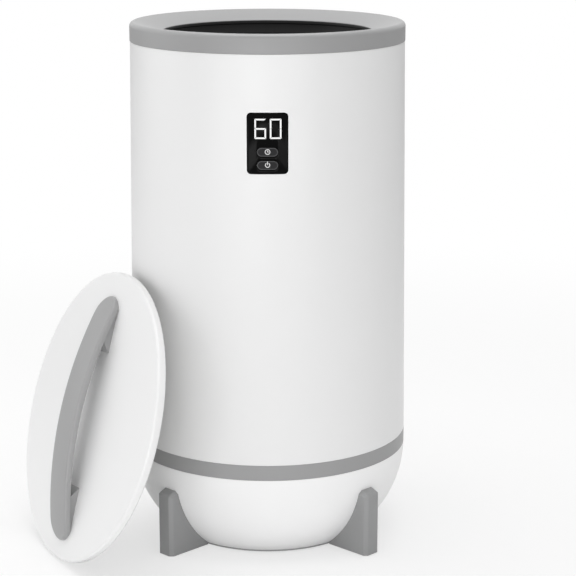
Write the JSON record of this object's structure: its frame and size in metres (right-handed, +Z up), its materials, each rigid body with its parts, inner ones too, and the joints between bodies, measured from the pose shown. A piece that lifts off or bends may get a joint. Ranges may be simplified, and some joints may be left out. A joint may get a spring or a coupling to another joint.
{
  "type": "towel warmer",
  "caption": "Round bucket towel warmer on block feet, with a grey rim, a dark metal inner bucket, a control panel and a loose lid leaning on its side.",
  "frame": {"origin": "on the floor, on the axis of the bucket", "axes": "-Y front, the side with the control panel; +Z up"},
  "size_m": [0.4138, 0.3736, 0.547],
  "materials": {
    "shell_white": "satin moulded plastic",
    "trim_grey": "satin moulded plastic",
    "foot_grey": "satin moulded plastic",
    "inner_grey": "moulded plastic, not seen",
    "lid_liner": "satin moulded plastic",
    "liner_black": "black coated sheet",
    "heater_film": "silicone heating mat",
    "insulation": "mineral felt",
    "rubber_black": "matt",
    "fascia_black": "smoked and glossy",
    "digit_white": "lit from behind",
    "button_dark": "satin",
    "board_green": "solder mask",
    "component_dark": "moulded",
    "plunger_light": "moulded",
    "screw_steel": "zinc plated",
    "sensor_metal": "bare cap",
    "lead_black": "wire sleeve",
    "lead_red": "wire sleeve",
    "lead_white": "wire sleeve"
  },
  "bodies": {
    "bucket": {"outer_shell": "shell_white", "rim_ring": "trim_grey", "inner_bucket": "liner_black", "heater_wrap": "heater_film", "insulation_sleeve": "insulation", "floor_insulation": "insulation", "chassis_plate": "inner_grey", "band_ring": "trim_grey", "base_shell": "shell_white", "base_plate": "foot_grey", "foot_front_left": "foot_grey", "foot_front_right": "foot_grey", "foot_rear_left": "foot_grey", "foot_rear_right": "foot_grey", "foot_pads": "rubber_black", "cord_gland": "rubber_black", "control_fascia": "fascia_black", "display_module": "component_dark", "display_digits": "digit_white", "control_board": "board_green", "tact_switches": "component_dark", "power_board": "board_green", "thermostat": "sensor_metal", "thermal_fuse": "sensor_metal", "mains_lead": "lead_black", "heater_leads": "lead_red", "panel_lead": "lead_white", "rim_screws": "screw_steel", "chassis_screws": "screw_steel", "base_screws": "screw_steel", "foot_screws": "screw_steel", "board_screws": "screw_steel"},
    "lid": {"lid_top": "shell_white", "lid_inner": "lid_liner", "lid_insulation": "insulation", "lid_seal": "rubber_black", "lid_handle": "trim_grey", "handle_screws": "screw_steel", "lid_screws": "screw_steel"},
    "timer_key": {"timer_button": "button_dark", "timer_plunger": "plunger_light"},
    "power_key": {"power_button": "button_dark", "power_plunger": "plunger_light"}
  },
  "joints": [
    {"name": "lid_lift", "type": "slide", "parent": "bucket", "child": "lid", "axis": [0, 0, 1], "range_m": [0, 0.58]},
    {"name": "timer_press", "type": "slide", "parent": "bucket", "child": "timer_key", "axis": [0, 1, 0], "range_m": [0, 0.0006], "stiffness_N_per_m": 800},
    {"name": "power_press", "type": "slide", "parent": "bucket", "child": "power_key", "axis": [0, 1, 0], "range_m": [0, 0.0006], "stiffness_N_per_m": 800}
  ]
}
